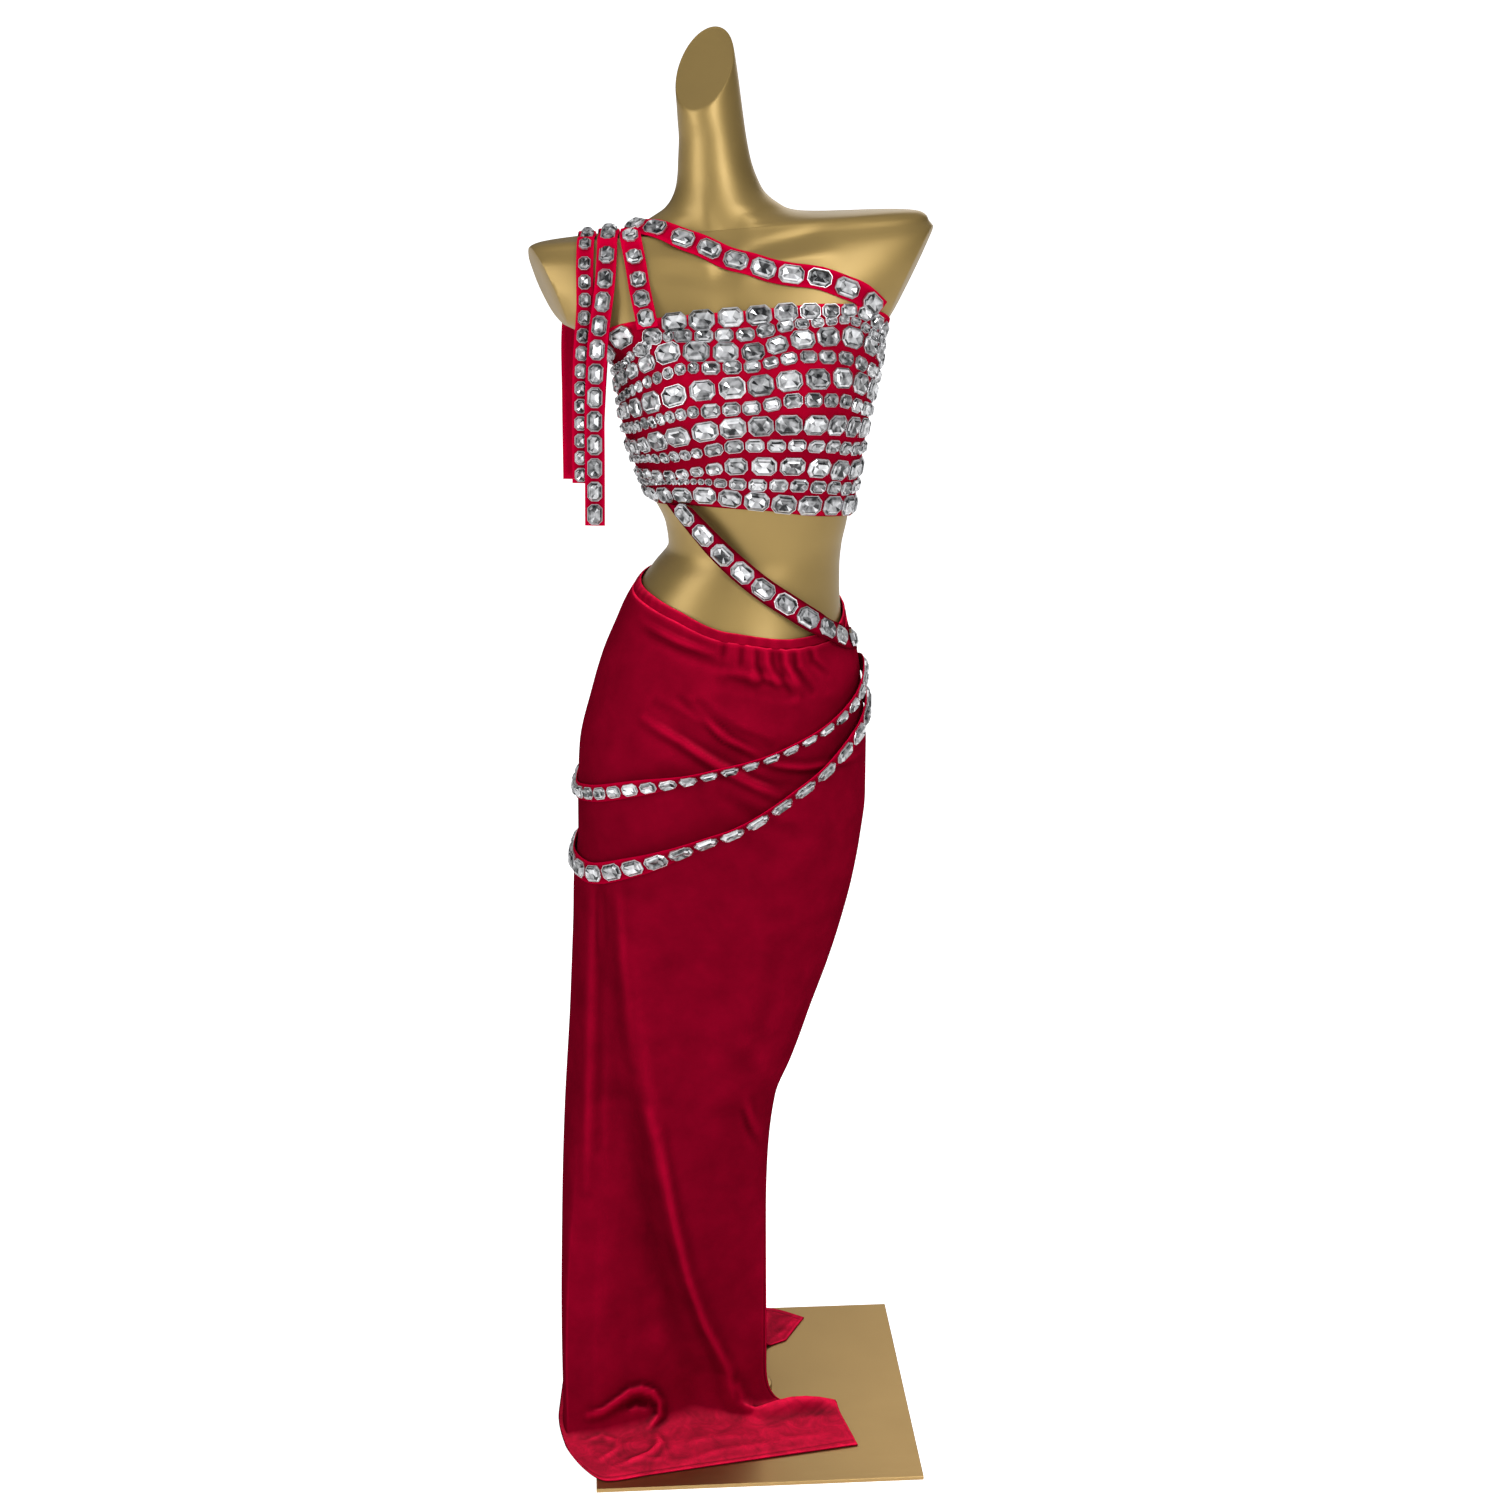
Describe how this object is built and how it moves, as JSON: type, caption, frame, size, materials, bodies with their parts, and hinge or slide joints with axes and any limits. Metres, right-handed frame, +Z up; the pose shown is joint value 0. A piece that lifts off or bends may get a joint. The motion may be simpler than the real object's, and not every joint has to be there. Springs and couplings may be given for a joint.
{
  "type": "crop top and skirt set on dress form",
  "caption": "One-shoulder cropped top covered in rows of set stones, with stoned straps and hanging ties, and a long slit velvet skirt, worn by a limbless dress form on a pole and square plate.",
  "frame": {"origin": "centre of the base plate's underside, on the floor", "axes": "+Z up; +Y to the figure's back; +X to the right as seen from the front"},
  "size_m": [0.4345, 0.4042, 1.6121],
  "materials": {
    "form_lacquer": "satin gold lacquer on fibreglass",
    "plate_gold": "fine brushed gold",
    "pole_steel": "satin gold",
    "velvet": "crimson stretch velvet",
    "stoned_velvet": "crimson stretch velvet under clear stones in silver settings"
  },
  "bodies": {
    "root": {"dress_form": "form_lacquer", "form_pole": "pole_steel", "pole_socket": "pole_steel", "base_plate": "plate_gold", "top_front": "stoned_velvet", "top_back": "stoned_velvet", "neck_strap": "stoned_velvet", "shoulder_strap": "stoned_velvet", "tie_tail_small": "stoned_velvet", "tie_tail_large": "stoned_velvet", "waist_strap": "stoned_velvet", "waist_casing": "velvet", "skirt_front": "velvet", "skirt_back": "velvet", "hip_strap_upper": "stoned_velvet", "hip_strap_lower": "stoned_velvet"}
  },
  "joints": []
}
